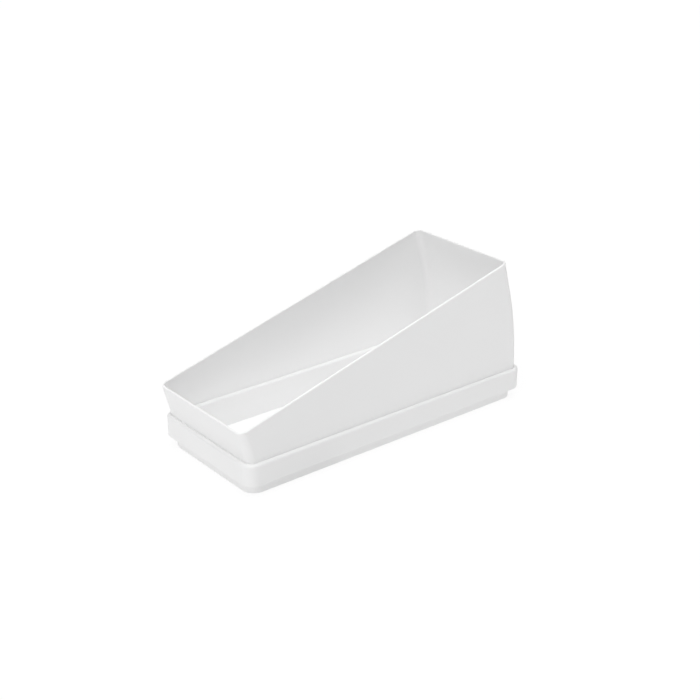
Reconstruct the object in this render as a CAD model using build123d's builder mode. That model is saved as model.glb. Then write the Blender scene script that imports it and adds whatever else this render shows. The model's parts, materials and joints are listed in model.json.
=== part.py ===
"""Fifteen degree vertical bend for flat rectangular ventilation duct, on its connector ring.

Frame: X runs along the section, with the low end at -X and the tall end at +X. Y runs across it,
and Z is up. The origin is the centre of the section at the lower edge of the spigot.
Sizes are in millimetres and angles in degrees.
"""

from build123d import *
import os
from math import atan2, cos, degrees, radians, sin

# --- Duct section that the bend carries on -----------------------------------------------------
duct_length = 222.0  # outside, along X
duct_width = 89.0  # outside, along Y
duct_corner = 5.4  # outside radius of the upright corners
shell_wall = 1.5

# --- Bend shell --------------------------------------------------------------------------------
bend_angle = 15.0
crease_radius = 1.5  # from the bend's axis to the outside of the low wall
socket_length = 21.6  # straight mouth above the bend, square to the rim
rim_outer_rounding = 1.0
rim_inner_rounding = 0.4
fold_rise = 0.2  # how far above the top of the band the bend begins

# --- Connector ring ----------------------------------------------------------------------------
band_bottom = 7.4  # height of the shoulder that the next duct butts against
band_height = 14.4
band_wall = 2.7
band_top_rounding = 1.7
band_foot_rounding = 0.5
web_thickness = 2.0  # floor of the groove, joining the band to the sleeve
sleeve_wall = 2.7  # at the ledge
ledge_rise = 0.4  # how far the ledge stands above the top of the band
ledge_rounding = 1.8
mating_wall = 1.0  # wall of the duct that the spigot enters
spigot_corner = 9.0
spigot_foot_wall = 1.3
spigot_rounding = 0.7
small_rounding = 0.1  # every other moulded edge

# --- Clearances --------------------------------------------------------------------------------
groove_clearance = 0.1  # on each side of the shell's foot in the groove
spigot_clearance = 0.1  # between the spigot and the duct around it

# --- Groove seal -------------------------------------------------------------------------------
seal_thickness = 1.5
seal_side_gap = 0.1  # between the seal and each wall of the groove

# --- Sizes that follow from the ones above -----------------------------------------------------
band_top = band_bottom + band_height
ledge_height = band_top + ledge_rise
fold_height = band_top + fold_rise
groove_floor = band_bottom + web_thickness
shell_foot = groove_floor + seal_thickness
groove_outset = groove_clearance
band_outset = groove_outset + band_wall
sleeve_outset = -shell_wall - groove_clearance
passage_outset = sleeve_outset - sleeve_wall
spigot_outset = -mating_wall - spigot_clearance
passage_foot_outset = spigot_outset - spigot_foot_wall
passage_draft = degrees(atan2(passage_foot_outset - passage_outset, ledge_height))

bend_axis_x = -duct_length / 2 - crease_radius
bend_axis = Axis((bend_axis_x, 0, fold_height), (0, -1, 0))
along = Vector(cos(radians(bend_angle)), 0, sin(radians(bend_angle)))
up = Vector(-sin(radians(bend_angle)), 0, cos(radians(bend_angle)))
socket_plane = Plane(Vector(bend_axis_x, 0, fold_height) - along * bend_axis_x, x_dir=along, z_dir=up)


def corner_for(outset):
    """Corner radius of the outline that runs parallel to the duct's outside at this distance."""
    return duct_corner + outset


def outline(plane, outset, corner):
    """The duct's outline moved outwards by outset, or inwards where it is negative."""
    with BuildSketch(plane) as face:
        RectangleRounded(duct_length + 2 * outset, duct_width + 2 * outset, corner)
    return face.sketch


def wall_section(plane, outer, inner):
    """A closed wall between two outlines parallel to the duct's outside."""
    with BuildSketch(plane) as face:
        RectangleRounded(duct_length + 2 * outer, duct_width + 2 * outer, corner_for(outer))
        RectangleRounded(
            duct_length + 2 * inner, duct_width + 2 * inner, corner_for(inner), mode=Mode.SUBTRACT
        )
    return face.sketch


# --- Bend shell: straight foot in the groove, bend about the low wall, straight socket ----------
with BuildPart() as bend_shell:
    fold_plane = Plane.XY.offset(fold_height)
    extrude(wall_section(fold_plane, 0, -shell_wall), amount=shell_foot - fold_height)
    revolve(wall_section(fold_plane, 0, -shell_wall), axis=bend_axis, revolution_arc=bend_angle)
    extrude(wall_section(socket_plane, 0, -shell_wall), amount=socket_length)
    rim = bend_shell.faces().sort_by(Axis(socket_plane.origin, up))[-1]
    fillet(rim.outer_wire().edges(), radius=rim_outer_rounding)
    rim = bend_shell.faces().sort_by(Axis(socket_plane.origin, up))[-1]
    fillet(rim.inner_wires()[0].edges(), radius=rim_inner_rounding)
bend_shell.part.label = "bend_shell"

# --- Connector ring: band, groove for the shell, and spigot for the next duct, in one moulding --
with BuildPart() as connector_ring:
    extrude(outline(Plane.XY, spigot_outset, spigot_corner), amount=groove_floor)
    extrude(
        outline(Plane.XY.offset(band_bottom), band_outset, corner_for(band_outset)),
        amount=band_height,
    )
    # The sleeve stands a little higher than the band, and the groove runs round between them.
    extrude(
        outline(Plane.XY.offset(band_top), sleeve_outset, corner_for(sleeve_outset)),
        amount=ledge_height - band_top,
    )
    extrude(
        wall_section(Plane.XY.offset(groove_floor), groove_outset, sleeve_outset),
        amount=band_top - groove_floor,
        mode=Mode.SUBTRACT,
    )
    # The passage for the air narrows upwards by the draft of the core that moulded it.
    extrude(
        outline(Plane.XY, passage_foot_outset, spigot_corner - spigot_foot_wall),
        amount=ledge_height,
        taper=passage_draft,
        mode=Mode.SUBTRACT,
    )
    ledge_face = connector_ring.faces().filter_by(Axis.Z).group_by(Axis.Z)[-1][0]
    fillet(ledge_face.inner_wires()[0].edges(), radius=ledge_rounding)
    ledge_face = connector_ring.faces().filter_by(Axis.Z).group_by(Axis.Z)[-1][0]
    fillet(ledge_face.outer_wire().edges(), radius=small_rounding)
    band_face = connector_ring.faces().filter_by(Axis.Z).group_by(Axis.Z)[-2][0]
    fillet(band_face.outer_wire().edges(), radius=band_top_rounding)
    band_face = connector_ring.faces().filter_by(Axis.Z).group_by(Axis.Z)[-2][0]
    fillet(band_face.inner_wires()[0].edges(), radius=small_rounding)
    shoulder = connector_ring.faces().filter_by(Axis.Z).group_by(Axis.Z)[1][0]
    fillet(shoulder.outer_wire().edges(), radius=band_foot_rounding)
    foot_face = connector_ring.faces().filter_by(Axis.Z).group_by(Axis.Z)[0][0]
    fillet(foot_face.outer_wire().edges(), radius=spigot_rounding)
    foot_face = connector_ring.faces().filter_by(Axis.Z).group_by(Axis.Z)[0][0]
    fillet(foot_face.inner_wires()[0].edges(), radius=small_rounding)
connector_ring.part.label = "connector_ring"

# --- Groove seal: a soft strip on the groove's floor, under the shell's foot --------------------
with BuildPart() as groove_seal:
    extrude(
        wall_section(
            Plane.XY.offset(groove_floor),
            groove_outset - seal_side_gap,
            sleeve_outset + seal_side_gap,
        ),
        amount=seal_thickness,
    )
groove_seal.part.label = "groove_seal"

os.makedirs("parts", exist_ok=True)
for piece in (bend_shell, connector_ring, groove_seal):
    export_step(piece.part, f"parts/{piece.part.label}.step")
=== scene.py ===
import json
import math
import bpy
import numpy as np
from bpy.props import FloatProperty, FloatVectorProperty, IntProperty, PointerProperty
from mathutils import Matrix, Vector


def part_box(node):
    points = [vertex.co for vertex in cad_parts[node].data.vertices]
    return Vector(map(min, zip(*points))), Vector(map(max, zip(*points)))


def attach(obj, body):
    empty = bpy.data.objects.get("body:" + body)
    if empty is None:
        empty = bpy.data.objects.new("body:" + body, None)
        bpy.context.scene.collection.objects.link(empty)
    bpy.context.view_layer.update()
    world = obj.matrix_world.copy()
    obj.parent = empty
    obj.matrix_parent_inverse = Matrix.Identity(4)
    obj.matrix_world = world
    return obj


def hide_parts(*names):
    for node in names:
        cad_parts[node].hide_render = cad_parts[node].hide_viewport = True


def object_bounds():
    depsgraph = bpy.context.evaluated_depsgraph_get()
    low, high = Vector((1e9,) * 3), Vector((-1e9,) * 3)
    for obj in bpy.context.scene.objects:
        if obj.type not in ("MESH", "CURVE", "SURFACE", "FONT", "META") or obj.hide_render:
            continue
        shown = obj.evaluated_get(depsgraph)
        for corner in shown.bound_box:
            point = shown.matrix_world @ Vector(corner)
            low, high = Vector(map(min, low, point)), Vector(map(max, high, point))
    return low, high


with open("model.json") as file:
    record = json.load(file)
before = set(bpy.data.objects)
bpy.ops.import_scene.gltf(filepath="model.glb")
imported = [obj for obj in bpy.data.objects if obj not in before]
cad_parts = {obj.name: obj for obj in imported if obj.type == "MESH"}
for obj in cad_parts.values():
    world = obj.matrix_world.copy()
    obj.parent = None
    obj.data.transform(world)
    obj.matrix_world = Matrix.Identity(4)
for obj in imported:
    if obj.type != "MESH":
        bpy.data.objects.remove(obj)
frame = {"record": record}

bl_info = {
    "name": "Flat Duct Bend",
    "version": (1, 0, 0),
    "blender": (4, 5, 0),
    "location": "View3D > Sidebar > Duct",
    "description": "Shallow bend of flat ventilation duct on its connector ring, with a plain studio",
    "category": "Add Mesh",
}

MM = 0.001
TABLE_REACH = 100.0  # metres from the middle to each edge
SENSOR_WIDTH = 36.0  # millimetres
# Sizes of the patterns on the plastic and on the seal.
FLOW_PATCH = 40 * MM
POLISH_PATCH = 9 * MM
WALL_WAVE = 55 * MM
BLOOM_PATCH = 3 * MM
SKIRT_FADE = 80.0
# Bearing and height of each of the tent's panels in degrees, and how fast it fades outwards.
# The bearing is from the low end's side, turning towards the near side.
OVERHEAD_PANEL = (0.0, 90.0, 4.0)
LEFT_PANEL = (20.0, 40.0, 6.0)
FRONT_PANEL = (45.0, 40.0, 6.0)
QUARTER_TURN = math.pi / 2
CAD_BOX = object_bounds()


def linear_from_hex(code):
    """Turn an sRGB colour such as #D9D9D8 into the linear RGB that shaders take."""
    shares = [int(code[i:i + 2], 16) / 255 for i in (1, 3, 5)]
    return [c / 12.92 if c <= 0.04045 else ((c + 0.055) / 1.055) ** 2.4 for c in shares]


def mount(name):
    """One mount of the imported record, by name."""
    return next(m for m in frame["record"]["mounts"] if m["name"] == name)


# --- Places that the frame settles -------------------------------------------------------------
SHELL_LOW, SHELL_HIGH = (Vector(corner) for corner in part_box("bend_shell"))
RING_LOW, RING_HIGH = (Vector(corner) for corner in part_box("connector_ring"))
SEAL_LOW, SEAL_HIGH = (Vector(corner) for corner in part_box("groove_seal"))
RIM_CENTRE = Vector(mount("duct_socket")["pos_m"])
RIM_NORMAL = Vector(mount("duct_socket")["axis"])
SHOULDER_HEIGHT = mount("duct_stop")["pos_m"][2]
HALF_LENGTH = SHELL_HIGH.x
HALF_WIDTH = SHELL_HIGH.y
BAND_OUTSET = RING_HIGH.x - HALF_LENGTH
BEND_ANGLE = math.atan2(-RIM_NORMAL.x, RIM_NORMAL.z)


# --- Sizes, colours and light that a user would change -----------------------------------------
class DuctSizes(bpy.types.PropertyGroup):
    """Walls, radii and clearances of the three mouldings."""

    corner: FloatProperty(
        name="Corner", description="Outside radius of the shell's upright corners",
        default=5.4 * MM, min=2 * MM, precision=5, unit="LENGTH",
    )
    wall: FloatProperty(
        name="Shell Wall", description="Thickness of the bend shell",
        default=1.5 * MM, min=0.5 * MM, precision=5, unit="LENGTH",
    )
    crease: FloatProperty(
        name="Crease Radius", description="From the bend's axis to the outside of the low wall",
        default=1.5 * MM, min=0.5 * MM, precision=5, unit="LENGTH",
    )
    socket: FloatProperty(
        name="Socket Length", description="Straight mouth between the bend and the rim",
        default=21.6 * MM, min=5 * MM, precision=5, unit="LENGTH",
    )
    rim_outer: FloatProperty(
        name="Rim Outer Rounding", description="Radius along the outer edge of the rim",
        default=1.0 * MM, min=0.05 * MM, precision=5, unit="LENGTH",
    )
    rim_inner: FloatProperty(
        name="Rim Inner Rounding", description="Radius along the inner edge of the rim",
        default=0.4 * MM, min=0.05 * MM, precision=5, unit="LENGTH",
    )
    groove_gap: FloatProperty(
        name="Groove Clearance", description="Gap on each side of the shell in the ring's groove",
        default=0.05 * MM, min=0.01 * MM, precision=5, unit="LENGTH",
    )
    sleeve: FloatProperty(
        name="Sleeve Wall", description="Width of the ledge inside the shell",
        default=2.7 * MM, min=0.5 * MM, precision=5, unit="LENGTH",
    )
    ledge_rise: FloatProperty(
        name="Ledge Rise", description="How far the ledge stands above the top of the band",
        default=0.4 * MM, min=0.0, precision=5, unit="LENGTH",
    )
    ledge_rounding: FloatProperty(
        name="Ledge Rounding", description="Radius along the inner edge of the ledge",
        default=1.8 * MM, min=0.1 * MM, precision=5, unit="LENGTH",
    )
    band_rounding: FloatProperty(
        name="Band Rounding", description="Radius along the top edge of the band",
        default=1.7 * MM, min=0.1 * MM, precision=5, unit="LENGTH",
    )
    band_foot: FloatProperty(
        name="Band Foot Rounding", description="Radius along the lower edge of the band",
        default=0.5 * MM, min=0.1 * MM, precision=5, unit="LENGTH",
    )
    spigot_inset: FloatProperty(
        name="Spigot Inset", description="How far the spigot is set in from the shell's outside",
        default=1.1 * MM, min=0.1 * MM, precision=5, unit="LENGTH",
    )
    spigot_corner: FloatProperty(
        name="Spigot Corner", description="Outside radius of the spigot's upright corners",
        default=9 * MM, min=3 * MM, precision=5, unit="LENGTH",
    )
    spigot_wall: FloatProperty(
        name="Spigot Wall", description="Thickness of the spigot at its lower edge",
        default=1.3 * MM, min=0.5 * MM, precision=5, unit="LENGTH",
    )
    spigot_rounding: FloatProperty(
        name="Spigot Rounding", description="Radius along the outer lower edge of the spigot",
        default=0.7 * MM, min=0.05 * MM, precision=5, unit="LENGTH",
    )
    small_rounding: FloatProperty(
        name="Small Rounding", description="Radius of every other moulded edge",
        default=0.05 * MM, min=0.02 * MM, precision=5, unit="LENGTH",
    )
    seal_rounding: FloatProperty(
        name="Seal Rounding", description="Radius of the seal strip's edges",
        default=0.3 * MM, min=0.02 * MM, precision=5, unit="LENGTH",
    )
    corner_steps: IntProperty(
        name="Corner Steps", description="Faces round each upright corner", default=16, min=3,
    )
    bend_steps: IntProperty(
        name="Bend Steps", description="Faces along the arc of the bend", default=24, min=3,
    )


class DuctFinish(bpy.types.PropertyGroup):
    """Colours and surface of the plastic and the rubber."""

    plastic: FloatVectorProperty(
        name="Plastic", description="Colour of the white plastic",
        default=linear_from_hex("#F5F5F5"), size=3, min=0.0, max=1.0, subtype="COLOR",
    )
    rubber: FloatVectorProperty(
        name="Rubber", description="Colour of the seal",
        default=linear_from_hex("#6A6A6B"), size=3, min=0.0, max=1.0, subtype="COLOR",
    )
    table: FloatVectorProperty(
        name="Table", description="What the opal table reflects of the light that falls on it",
        default=linear_from_hex("#606060"), size=3, min=0.0, max=1.0, subtype="COLOR",
    )
    roughness: FloatProperty(
        name="Roughness", description="Mean roughness of the plastic",
        default=0.42, min=0.0, max=1.0, subtype="FACTOR",
    )
    grain: FloatProperty(
        name="Grain", description="Spacing of the spark-eroded texture of the mould",
        default=0.6 * MM, min=0.1 * MM, precision=5, unit="LENGTH",
    )


class DuctStudio(bpy.types.PropertyGroup):
    """Camera and lights of the plain studio."""

    azimuth: FloatProperty(
        name="Azimuth", description="Camera's turn about the upright axis, from straight in front",
        default=math.radians(-38.95), subtype="ANGLE",
    )
    elevation: FloatProperty(
        name="Elevation", description="Camera's height above the horizon",
        default=math.radians(23.83), subtype="ANGLE",
    )
    distance: FloatProperty(
        name="Distance", description="From the camera to the middle of the part",
        default=0.8575, min=0.2, precision=4, unit="LENGTH",
    )
    lens: FloatProperty(
        name="Lens", description="Focal length", default=68.08, min=20.0, unit="CAMERA",
    )
    aside: FloatProperty(
        name="Aim Aside", description="How far the camera aims to the right of the part's middle",
        default=1.63 * MM, precision=5, unit="LENGTH",
    )
    above: FloatProperty(
        name="Aim Above", description="How far the camera aims above the part's middle",
        default=-0.12 * MM, precision=5, unit="LENGTH",
    )
    overhead: FloatProperty(
        name="Overhead Panel", description="Strength of the tent's panel straight above",
        default=2.45, min=0.0,
    )
    left: FloatProperty(
        name="Left Panel", description="Strength of the high panel on the low end's side",
        default=1.0, min=0.0,
    )
    front: FloatProperty(
        name="Front Panel", description="Strength of the high panel towards the near left corner",
        default=0.38, min=0.0,
    )
    backdrop: FloatProperty(
        name="Backdrop", description="Brightness of the plain backdrop above the table, which lights nothing",
        default=1.0, min=0.0,
    )
    skirt: FloatProperty(
        name="Skirt", description="Strength of the tent's lower edge, which the table lights",
        default=2.0, min=0.0,
    )
    table_glow: FloatProperty(
        name="Table Glow", description="Light that comes up through the opal table",
        default=0.885, min=0.0,
    )


class DuctBend(bpy.types.PropertyGroup):
    """All settings of the duct bend and its studio."""

    sizes: PointerProperty(type=DuctSizes)
    finish: PointerProperty(type=DuctFinish)
    studio: PointerProperty(type=DuctStudio)


# --- Nodes ---------------------------------------------------------------------------------------
def add_node(tree, kind, inputs=None, **settings):
    """Add one node, set what it is told, and give each named input a value or a link."""
    node = tree.nodes.new(kind)
    for name, value in settings.items():
        setattr(node, name, value)
    for key, value in (inputs or {}).items():
        if isinstance(value, bpy.types.NodeSocket):
            tree.links.new(value, node.inputs[key])
        else:
            node.inputs[key].default_value = value
    return node


def moulded_sleeve_tree():
    """Sweep a closed profile round a rounded rectangle, then bend the sleeve about its low wall.

    Each point of the incoming profile holds its outset from the duct's outside in X, its way along
    the spine from the fold in Y, and the corner radius of its own outline in Z.
    """
    tree = bpy.data.node_groups.new("Moulded sleeve", "GeometryNodeTree")
    face = tree.interface
    face.new_socket("Profile", in_out="INPUT", socket_type="NodeSocketGeometry")
    for name in ("Half Length", "Half Width", "Fold Height", "Spine Radius", "Bend Length"):
        face.new_socket(name, in_out="INPUT", socket_type="NodeSocketFloat")
    face.new_socket("Corner Steps", in_out="INPUT", socket_type="NodeSocketInt")
    face.new_socket("Material", in_out="INPUT", socket_type="NodeSocketMaterial")
    face.new_socket("Sleeve", in_out="OUTPUT", socket_type="NodeSocketGeometry")
    given = tree.nodes.new("NodeGroupInput").outputs

    # A grid gives the faces: one row for each profile point, one column for each step round.
    points = add_node(
        tree, "GeometryNodeAttributeDomainSize", {"Geometry": given["Profile"]}, component="MESH"
    ).outputs["Point Count"]
    per_corner = add_node(
        tree, "ShaderNodeMath", {0: given["Corner Steps"], 1: 1.0}, operation="ADD"
    ).outputs[0]
    columns = add_node(
        tree, "ShaderNodeMath", {0: per_corner, 1: 4.0, 2: 1.0}, operation="MULTIPLY_ADD"
    ).outputs[0]
    rows = add_node(tree, "ShaderNodeMath", {0: points, 1: 1.0}, operation="ADD").outputs[0]
    grid = add_node(tree, "GeometryNodeMeshGrid", {"Vertices X": rows, "Vertices Y": columns})

    # Which profile point, which corner and how far round it each grid point stands.
    index = tree.nodes.new("GeometryNodeInputIndex").outputs[0]
    share = add_node(tree, "ShaderNodeMath", {0: index, 1: columns}, operation="DIVIDE").outputs[0]
    row = add_node(tree, "ShaderNodeMath", {0: share}, operation="FLOOR").outputs[0]
    column = add_node(tree, "ShaderNodeMath", {0: index, 1: columns}, operation="MODULO").outputs[0]
    part = add_node(tree, "ShaderNodeMath", {0: column, 1: per_corner}, operation="DIVIDE").outputs[0]
    corner = add_node(tree, "ShaderNodeMath", {0: part}, operation="FLOOR").outputs[0]
    step = add_node(tree, "ShaderNodeMath", {0: column, 1: per_corner}, operation="MODULO").outputs[0]
    way = add_node(
        tree, "ShaderNodeMath", {0: step, 1: given["Corner Steps"]}, operation="DIVIDE"
    ).outputs[0]
    turned = add_node(tree, "ShaderNodeMath", {0: corner, 1: way}, operation="ADD").outputs[0]
    corner_angle = add_node(
        tree, "ShaderNodeMath", {0: corner, 1: QUARTER_TURN}, operation="MULTIPLY"
    ).outputs[0]
    point_angle = add_node(
        tree, "ShaderNodeMath", {0: turned, 1: QUARTER_TURN}, operation="MULTIPLY"
    ).outputs[0]
    diagonal = add_node(
        tree, "ShaderNodeVectorRotate", {"Vector": (1.0, 1.0, 0.0), "Angle": corner_angle},
        rotation_type="Z_AXIS",
    ).outputs[0]
    side = add_node(tree, "ShaderNodeVectorMath", {0: diagonal}, operation="SIGN").outputs[0]
    outwards = add_node(
        tree, "ShaderNodeVectorRotate", {"Vector": (1.0, 0.0, 0.0), "Angle": point_angle},
        rotation_type="Z_AXIS",
    ).outputs[0]

    # The profile point's own sizes.
    profile_index = add_node(tree, "ShaderNodeMath", {0: row, 1: points}, operation="MODULO").outputs[0]
    position = tree.nodes.new("GeometryNodeInputPosition").outputs[0]
    sampled = add_node(
        tree, "GeometryNodeSampleIndex",
        {"Geometry": given["Profile"], "Value": position, "Index": profile_index},
        data_type="FLOAT_VECTOR",
    ).outputs["Value"]
    size = add_node(tree, "ShaderNodeSeparateXYZ", {0: sampled}).outputs
    inset = add_node(tree, "ShaderNodeMath", {0: size["X"], 1: size["Z"]}, operation="SUBTRACT").outputs[0]
    half_length = add_node(
        tree, "ShaderNodeMath", {0: given["Half Length"], 1: inset}, operation="ADD"
    ).outputs[0]
    half_width = add_node(
        tree, "ShaderNodeMath", {0: given["Half Width"], 1: inset}, operation="ADD"
    ).outputs[0]

    # Round the corner: out along the diagonal to the corner's centre, then out by its radius.
    halves = add_node(tree, "ShaderNodeCombineXYZ", {"X": half_length, "Y": half_width}).outputs[0]
    centre = add_node(tree, "ShaderNodeVectorMath", {0: side, 1: halves}, operation="MULTIPLY").outputs[0]
    radius = add_node(
        tree, "ShaderNodeVectorMath", {0: outwards, "Scale": size["Z"]}, operation="SCALE"
    ).outputs[0]
    flat = add_node(tree, "ShaderNodeVectorMath", {0: centre, 1: radius}, operation="ADD").outputs[0]

    # Up the spine: straight to the fold, round the bend's axis, then straight again.
    in_bend = add_node(
        tree, "ShaderNodeClamp", {"Value": size["Y"], "Min": 0.0, "Max": given["Bend Length"]}
    ).outputs[0]
    straight = add_node(
        tree, "ShaderNodeMath", {0: size["Y"], 1: in_bend}, operation="SUBTRACT"
    ).outputs[0]
    height = add_node(
        tree, "ShaderNodeMath", {0: given["Fold Height"], 1: straight}, operation="ADD"
    ).outputs[0]
    lift = add_node(tree, "ShaderNodeCombineXYZ", {"Z": height}).outputs[0]
    upright = add_node(tree, "ShaderNodeVectorMath", {0: flat, 1: lift}, operation="ADD").outputs[0]
    axis_x = add_node(
        tree, "ShaderNodeMath", {0: given["Spine Radius"], 1: -1.0}, operation="MULTIPLY"
    ).outputs[0]
    axis = add_node(tree, "ShaderNodeCombineXYZ", {"X": axis_x, "Z": given["Fold Height"]}).outputs[0]
    angle = add_node(tree, "ShaderNodeMath", {0: in_bend, 1: axis_x}, operation="DIVIDE").outputs[0]
    bent = add_node(
        tree, "ShaderNodeVectorRotate", {"Vector": upright, "Center": axis, "Angle": angle},
        rotation_type="Y_AXIS",
    ).outputs[0]

    placed = add_node(tree, "GeometryNodeSetPosition", {"Geometry": grid.outputs["Mesh"], "Position": bent})
    closed = add_node(
        tree, "GeometryNodeMergeByDistance", {"Geometry": placed.outputs[0], "Distance": 0.001 * MM}
    )
    outward = add_node(tree, "GeometryNodeFlipFaces", {"Mesh": closed.outputs[0]})
    smooth = add_node(tree, "GeometryNodeSetShadeSmooth", {"Geometry": outward.outputs[0]})
    real = add_node(tree, "GeometryNodeRealizeInstances", {"Geometry": smooth.outputs[0]})
    finished = add_node(
        tree, "GeometryNodeSetMaterial", {"Geometry": real.outputs[0], "Material": given["Material"]}
    )
    add_node(tree, "NodeGroupOutput", {"Sleeve": finished.outputs[0]})
    return tree


# --- Profiles --------------------------------------------------------------------------------------
def rounded_profile(corners):
    """Round each corner of a closed outline of (point, rounding, steps) with a true arc."""
    count = len(corners)
    points = []
    for i, (point, rounding, steps) in enumerate(corners):
        before = corners[i - 1][0] - point
        after = corners[(i + 1) % count][0] - point
        if steps < 1:
            points.append(point)
            continue
        half = before.xy.angle(after.xy) / 2
        reach = rounding / math.tan(half)
        start = point + before * (reach / before.xy.length)
        end = point + after * (reach / after.xy.length)
        weight = math.sin(half)
        for n in range(steps + 1):
            t = n / steps
            a, b, c = (1 - t) ** 2, 2 * t * (1 - t) * weight, t ** 2
            points.append((start * a + point * b + end * c) / (a + b + c))
    return points


def sleeve_mesh(name, profile, half_size, fold, spine, bend_length, steps, material):
    """Run a profile through the sleeve tree and return the result as a plain mesh object."""
    base = bpy.data.meshes.new(name + "_profile")
    base.from_pydata(profile, [], [])
    maker = bpy.data.objects.new(name + "_maker", base)
    bpy.context.scene.collection.objects.link(maker)
    modifier = maker.modifiers.new("Sleeve", "NODES")
    modifier.node_group = bpy.data.node_groups.get("Moulded sleeve") or moulded_sleeve_tree()
    values = {
        "Half Length": half_size[0],
        "Half Width": half_size[1],
        "Fold Height": fold,
        "Spine Radius": spine,
        "Bend Length": bend_length,
        "Corner Steps": steps,
        "Material": material,
    }
    for item in modifier.node_group.interface.items_tree:
        if item.in_out == "INPUT" and item.name in values:
            modifier[item.identifier] = values[item.name]
    graph = bpy.context.evaluated_depsgraph_get()
    mesh = bpy.data.meshes.new_from_object(maker.evaluated_get(graph))
    bpy.data.objects.remove(maker)
    bpy.data.meshes.remove(base)
    if len(mesh.polygons) == 0:
        raise RuntimeError(name + " came out empty")
    mesh.name = name
    weight_normals(mesh)
    piece = bpy.data.objects.new(name, mesh)
    bpy.context.scene.collection.objects.link(piece)
    return piece


def weight_normals(mesh):
    """Turn each point's normal towards its largest faces, so that flat walls shade flat."""
    normals = np.zeros((len(mesh.vertices), 3))
    for polygon in mesh.polygons:
        normals[list(polygon.vertices)] += np.array(polygon.normal) * polygon.area ** 2
    normals /= np.linalg.norm(normals, axis=1, keepdims=True)
    mesh.normals_split_custom_set_from_vertices(normals.tolist())


# --- Materials ---------------------------------------------------------------------------------------
def moulded_abs(name, finish, waviness, seed):
    """White ABS, injection moulded in a spark-eroded tool.

    The eye sees a clean neutral white with a soft, wide highlight: the fine even grain of the tool
    breaks the gloss, and the cooling of the wall leaves it a very little wavy.
    """
    material = bpy.data.materials.new(name)
    material.use_nodes = True
    tree = material.node_tree
    shader = tree.nodes["Principled BSDF"]
    shader.inputs["IOR"].default_value = 1.54
    shader.inputs["Subsurface Weight"].default_value = 0.15
    shader.inputs["Subsurface Radius"].default_value = (1.0, 1.0, 1.0)
    shader.inputs["Subsurface Scale"].default_value = 1.2 * MM
    place = tree.nodes.new("ShaderNodeTexCoord").outputs["Object"]
    mapped = add_node(tree, "ShaderNodeMapping", {"Vector": place, "Location": (seed, seed, seed)}).outputs[0]

    # Colour: barely darker and lighter flow patches, a few centimetres across.
    patches = add_node(
        tree, "ShaderNodeTexNoise", {"Vector": mapped, "Scale": 1 / FLOW_PATCH, "Detail": 2.0}
    ).outputs["Fac"]
    tint = add_node(
        tree, "ShaderNodeHueSaturation", {"Color": (*finish.plastic, 1.0)}
    )
    shade = add_node(
        tree, "ShaderNodeMapRange", {"Value": patches, "To Min": 0.992, "To Max": 1.008}
    ).outputs[0]
    tree.links.new(shade, tint.inputs["Value"])
    tree.links.new(tint.outputs[0], shader.inputs["Base Color"])

    # Roughness: the polish of the tool varies a little.
    polish = add_node(
        tree, "ShaderNodeTexNoise", {"Vector": mapped, "Scale": 1 / POLISH_PATCH, "Detail": 3.0}
    ).outputs["Fac"]
    rough = add_node(
        tree, "ShaderNodeMapRange",
        {"Value": polish, "To Min": finish.roughness - 0.04, "To Max": finish.roughness + 0.04},
    ).outputs[0]
    tree.links.new(rough, shader.inputs["Roughness"])

    # Relief: eroded grain, and the slow waviness that moulded walls have.
    grain = add_node(
        tree, "ShaderNodeTexNoise", {"Vector": mapped, "Scale": 1 / finish.grain, "Detail": 1.0}
    ).outputs["Fac"]
    waves = add_node(
        tree, "ShaderNodeTexNoise", {"Vector": mapped, "Scale": 1 / WALL_WAVE, "Detail": 0.0}
    ).outputs["Fac"]
    slow = add_node(
        tree, "ShaderNodeBump", {"Height": waves, "Strength": 1.0, "Distance": waviness}
    ).outputs[0]
    fine = add_node(
        tree, "ShaderNodeBump", {"Height": grain, "Strength": 0.25, "Distance": 0.012 * MM, "Normal": slow}
    ).outputs[0]
    tree.links.new(fine, shader.inputs["Normal"])
    return material


def seal_rubber(name, finish):
    """Extruded thermoplastic rubber: a dull grey with a bloom that kills the highlight."""
    material = bpy.data.materials.new(name)
    material.use_nodes = True
    tree = material.node_tree
    shader = tree.nodes["Principled BSDF"]
    shader.inputs["IOR"].default_value = 1.52
    shader.inputs["Specular IOR Level"].default_value = 0.3
    place = tree.nodes.new("ShaderNodeTexCoord").outputs["Object"]
    bloom = add_node(
        tree, "ShaderNodeTexNoise", {"Vector": place, "Scale": 1 / BLOOM_PATCH, "Detail": 4.0}
    ).outputs["Fac"]
    shade = add_node(tree, "ShaderNodeMapRange", {"Value": bloom, "To Min": 0.85, "To Max": 1.15}).outputs[0]
    tint = add_node(
        tree, "ShaderNodeHueSaturation", {"Color": (*finish.rubber, 1.0), "Value": shade}
    ).outputs[0]
    tree.links.new(tint, shader.inputs["Base Color"])
    rough = add_node(tree, "ShaderNodeMapRange", {"Value": bloom, "To Min": 0.65, "To Max": 0.8}).outputs[0]
    tree.links.new(rough, shader.inputs["Roughness"])
    relief = add_node(tree, "ShaderNodeBump", {"Height": bloom, "Strength": 0.3, "Distance": 0.05 * MM})
    tree.links.new(relief.outputs[0], shader.inputs["Normal"])
    return material


def opal_acrylic(name, finish, glow):
    """Satin opal acrylic, lit from below, as on a still-life table.

    The eye sees an even clean white: the light that comes up through the sheet drowns what it
    reflects, so a piece on it throws hardly any shadow and its lower walls stay bright.
    """
    material = bpy.data.materials.new(name)
    material.use_nodes = True
    shader = material.node_tree.nodes["Principled BSDF"]
    shader.inputs["Base Color"].default_value = (*finish.table, 1.0)
    shader.inputs["Roughness"].default_value = 0.95
    shader.inputs["Specular IOR Level"].default_value = 0.1
    shader.inputs["Emission Color"].default_value = (1.0, 1.0, 1.0, 1.0)
    shader.inputs["Emission Strength"].default_value = glow
    return material


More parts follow.
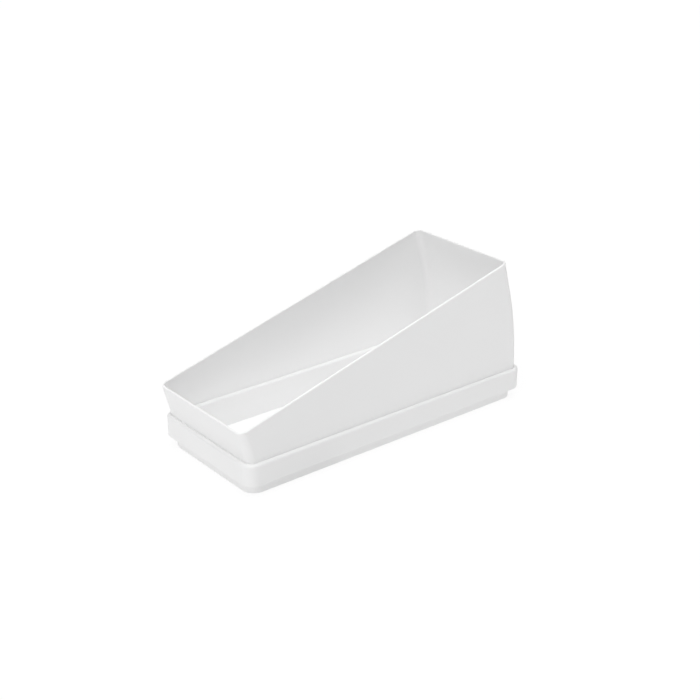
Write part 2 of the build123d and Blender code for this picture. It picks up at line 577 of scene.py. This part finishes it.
# --- Operators ---------------------------------------------------------------------------------------
class MESH_OT_duct_bend_shell(bpy.types.Operator):
    """Make the bend shell: a straight foot, the bend about its low wall, and the socket mouth."""

    bl_idname = "mesh.duct_bend_shell"
    bl_label = "Bend Shell"

    def execute(self, context):
        sizes = context.scene.duct_bend.sizes
        finish = context.scene.duct_bend.finish
        spine = HALF_LENGTH + sizes.crease
        bend_length = spine * BEND_ANGLE
        fold = RIM_CENTRE.z - spine * math.sin(BEND_ANGLE) - sizes.socket * math.cos(BEND_ANGLE)
        foot = SHELL_LOW.z - fold
        rim = bend_length + sizes.socket
        inner = sizes.corner - sizes.wall
        stations = [bend_length * n / sizes.bend_steps for n in range(sizes.bend_steps + 1)]
        outside = [(Vector((0, s, sizes.corner)), 0, 0) for s in stations]
        inside = [(Vector((-sizes.wall, s, inner)), 0, 0) for s in reversed(stations)]
        corners = [
            (Vector((0, foot, sizes.corner)), sizes.small_rounding, 3),
            *outside,
            (Vector((0, rim, sizes.corner)), sizes.rim_outer, 10),
            (Vector((-sizes.wall, rim, inner)), sizes.rim_inner, 6),
            *inside,
            (Vector((-sizes.wall, foot, inner)), sizes.small_rounding, 3),
        ]
        plastic = moulded_abs("White moulded ABS, shell", finish, 0.05 * MM, 0.0)
        piece = sleeve_mesh(
            "bend_shell_moulding", rounded_profile(corners), (HALF_LENGTH, HALF_WIDTH),
            fold, spine, bend_length, sizes.corner_steps, plastic,
        )
        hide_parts("bend_shell")
        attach(piece, "shell")
        return {"FINISHED"}


class MESH_OT_duct_connector_ring(bpy.types.Operator):
    """Make the connector ring: band, groove, ledge and drafted spigot in one moulding."""

    bl_idname = "mesh.duct_connector_ring"
    bl_label = "Connector Ring"

    def execute(self, context):
        sizes = context.scene.duct_bend.sizes
        finish = context.scene.duct_bend.finish
        band = BAND_OUTSET
        groove = sizes.groove_gap
        back = -sizes.wall - sizes.groove_gap
        ledge = back - sizes.sleeve
        spigot = -sizes.spigot_inset
        foot = spigot - sizes.spigot_wall
        ledge_height = RING_HIGH.z
        band_height = RING_HIGH.z - sizes.ledge_rise

        def point(outset, height, corner):
            return Vector((outset, height, corner))

        corners = [
            (point(spigot, RING_LOW.z, sizes.spigot_corner), sizes.spigot_rounding, 6),
            (point(spigot, SHOULDER_HEIGHT, sizes.spigot_corner), 0, 0),
            (point(band, SHOULDER_HEIGHT, sizes.corner + band), sizes.band_foot, 6),
            (point(band, band_height, sizes.corner + band), sizes.band_rounding, 12),
            (point(groove, band_height, sizes.corner + groove), sizes.small_rounding, 4),
            (point(groove, SEAL_LOW.z, sizes.corner + groove), 0, 0),
            (point(back, SEAL_LOW.z, sizes.corner + back), 0, 0),
            (point(back, ledge_height, sizes.corner + back), sizes.small_rounding, 4),
            (point(ledge, ledge_height, sizes.spigot_corner + ledge - spigot), sizes.ledge_rounding, 10),
            (point(foot, RING_LOW.z, sizes.spigot_corner + foot - spigot), sizes.small_rounding, 4),
        ]
        plastic = moulded_abs("White moulded ABS, ring", finish, 0.02 * MM, 1.0)
        piece = sleeve_mesh(
            "connector_ring_moulding", rounded_profile(corners), (HALF_LENGTH, HALF_WIDTH),
            0.0, HALF_LENGTH, 0.0, sizes.corner_steps, plastic,
        )
        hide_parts("connector_ring")
        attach(piece, "ring")
        return {"FINISHED"}


class MESH_OT_duct_groove_seal(bpy.types.Operator):
    """Make the soft strip that lies on the floor of the ring's groove."""

    bl_idname = "mesh.duct_groove_seal"
    bl_label = "Groove Seal"

    def execute(self, context):
        sizes = context.scene.duct_bend.sizes
        finish = context.scene.duct_bend.finish
        gap = sizes.groove_gap - (SEAL_HIGH.x - HALF_LENGTH)
        outer = sizes.groove_gap - gap
        inner = gap - sizes.wall - sizes.groove_gap
        corners = [
            (Vector((outer, SEAL_LOW.z, sizes.corner + outer)), sizes.small_rounding, 3),
            (Vector((outer, SEAL_HIGH.z, sizes.corner + outer)), sizes.seal_rounding, 4),
            (Vector((inner, SEAL_HIGH.z, sizes.corner + inner)), sizes.seal_rounding, 4),
            (Vector((inner, SEAL_LOW.z, sizes.corner + inner)), sizes.small_rounding, 3),
        ]
        rubber = seal_rubber("Grey extruded seal rubber", finish)
        piece = sleeve_mesh(
            "groove_seal_strip", rounded_profile(corners), (HALF_LENGTH, HALF_WIDTH),
            0.0, HALF_LENGTH, 0.0, sizes.corner_steps, rubber,
        )
        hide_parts("groove_seal")
        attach(piece, "ring")
        return {"FINISHED"}


def look_at(thing, spot, target):
    """Put a camera at a spot, looking at a target."""
    thing.location = spot
    thing.rotation_euler = (target - spot).to_track_quat("-Z", "Y").to_euler()


def light_tent(studio):
    """A tent of white cloth, lit from outside by three soft panels and bright at its lower edge.

    Each panel fades out widely. The camera alone sees a plain pale backdrop in place of the cloth.
    """
    world = bpy.data.worlds.new("Light tent")
    world.use_nodes = True
    tree = world.node_tree
    ray = add_node(
        tree, "ShaderNodeVectorMath", {0: tree.nodes.new("ShaderNodeTexCoord").outputs["Generated"]},
        operation="NORMALIZE",
    ).outputs[0]
    rise = add_node(tree, "ShaderNodeSeparateXYZ", {0: ray}).outputs["Z"]
    level = add_node(tree, "ShaderNodeMath", {0: rise}, operation="ABSOLUTE").outputs[0]
    near_table = add_node(tree, "ShaderNodeMath", {0: 1.0, 1: level}, operation="SUBTRACT").outputs[0]
    edge = add_node(tree, "ShaderNodeMath", {0: near_table, 1: SKIRT_FADE}, operation="POWER").outputs[0]
    total = add_node(tree, "ShaderNodeMath", {0: edge, 1: studio.skirt}, operation="MULTIPLY").outputs[0]
    for strength, (bearing, height, fade) in (
        (studio.overhead, OVERHEAD_PANEL),
        (studio.left, LEFT_PANEL),
        (studio.front, FRONT_PANEL),
    ):
        bearing = math.radians(bearing)
        height = math.radians(height)
        panel = (
            -math.cos(bearing) * math.cos(height),
            -math.sin(bearing) * math.cos(height),
            math.sin(height),
        )
        facing = add_node(
            tree, "ShaderNodeVectorMath", {0: ray, 1: panel}, operation="DOT_PRODUCT"
        ).outputs["Value"]
        in_front = add_node(tree, "ShaderNodeMath", {0: facing, 1: 0.0}, operation="MAXIMUM").outputs[0]
        faded = add_node(tree, "ShaderNodeMath", {0: in_front, 1: fade}, operation="POWER").outputs[0]
        total = add_node(
            tree, "ShaderNodeMath", {0: faded, 1: strength, 2: total}, operation="MULTIPLY_ADD"
        ).outputs[0]
    # The backdrop is plain and pale where the camera looks past the table, and lights nothing.
    seen = tree.nodes.new("ShaderNodeLightPath").outputs["Is Camera Ray"]
    plain = add_node(tree, "ShaderNodeMath", {0: seen, 1: studio.backdrop}, operation="MULTIPLY").outputs[0]
    shown = add_node(tree, "ShaderNodeMath", {0: total, 1: plain}, operation="MAXIMUM").outputs[0]
    tree.links.new(shown, tree.nodes["Background"].inputs["Strength"])
    tree.nodes["Background"].inputs["Color"].default_value = (1.0, 1.0, 1.0, 1.0)
    return world


class SCENE_OT_duct_studio(bpy.types.Operator):
    """Set up the white table, the soft light tent and the camera."""

    bl_idname = "scene.duct_studio"
    bl_label = "Studio"

    def execute(self, context):
        studio = context.scene.duct_bend.studio
        finish = context.scene.duct_bend.finish
        scene = context.scene
        low, high = (Vector(corner) for corner in CAD_BOX)
        middle = (low + high) / 2

        sides = ((-1, -1), (1, -1), (1, 1), (-1, 1))
        corners = [(x * TABLE_REACH, y * TABLE_REACH, low.z) for x, y in sides]
        sheet = bpy.data.meshes.new("studio_table")
        sheet.from_pydata(corners, [], [(0, 1, 2, 3)])
        sheet.materials.append(opal_acrylic("Opal acrylic table", finish, studio.table_glow))
        table = bpy.data.objects.new("studio_table", sheet)
        scene.collection.objects.link(table)

        scene.world = light_tent(studio)
        scene.view_settings.view_transform = "Standard"

        across = Vector((math.cos(studio.azimuth), math.sin(studio.azimuth), 0))
        back = Vector((
            math.sin(studio.azimuth) * math.cos(studio.elevation),
            -math.cos(studio.azimuth) * math.cos(studio.elevation),
            math.sin(studio.elevation),
        ))
        upwards = back.cross(across)
        target = middle + across * studio.aside + upwards * studio.above
        lens = bpy.data.cameras.new("studio_camera")
        lens.sensor_width = SENSOR_WIDTH
        lens.lens = studio.lens
        camera = bpy.data.objects.new("studio_camera", lens)
        scene.collection.objects.link(camera)
        look_at(camera, target + back * studio.distance, target)
        scene.camera = camera
        return {"FINISHED"}


class VIEW3D_PT_duct_bend(bpy.types.Panel):
    """Buttons and settings of the duct bend."""

    bl_label = "Flat Duct Bend"
    bl_space_type = "VIEW_3D"
    bl_region_type = "UI"
    bl_category = "Duct"

    def draw(self, context):
        settings = context.scene.duct_bend
        for operator in OPERATORS:
            self.layout.operator(operator.bl_idname)
        for group in (settings.sizes, settings.finish, settings.studio):
            box = self.layout.box()
            for name in group.__annotations__:
                box.prop(group, name)


GROUPS = (DuctSizes, DuctFinish, DuctStudio, DuctBend)
OPERATORS = (
    MESH_OT_duct_bend_shell,
    MESH_OT_duct_connector_ring,
    MESH_OT_duct_groove_seal,
    SCENE_OT_duct_studio,
)


def register():
    """Register the classes and hang the settings on the scene."""
    for item in (*GROUPS, *OPERATORS, VIEW3D_PT_duct_bend):
        bpy.utils.register_class(item)
    bpy.types.Scene.duct_bend = PointerProperty(type=DuctBend)


def unregister():
    """Take the settings off the scene and unregister the classes."""
    del bpy.types.Scene.duct_bend
    for item in reversed((*GROUPS, *OPERATORS, VIEW3D_PT_duct_bend)):
        bpy.utils.unregister_class(item)


def main():
    """Make every piece and the studio."""
    register()
    bpy.ops.mesh.duct_bend_shell()
    bpy.ops.mesh.duct_connector_ring()
    bpy.ops.mesh.duct_groove_seal()
    bpy.ops.scene.duct_studio()


if __name__ == "__main__":
    main()
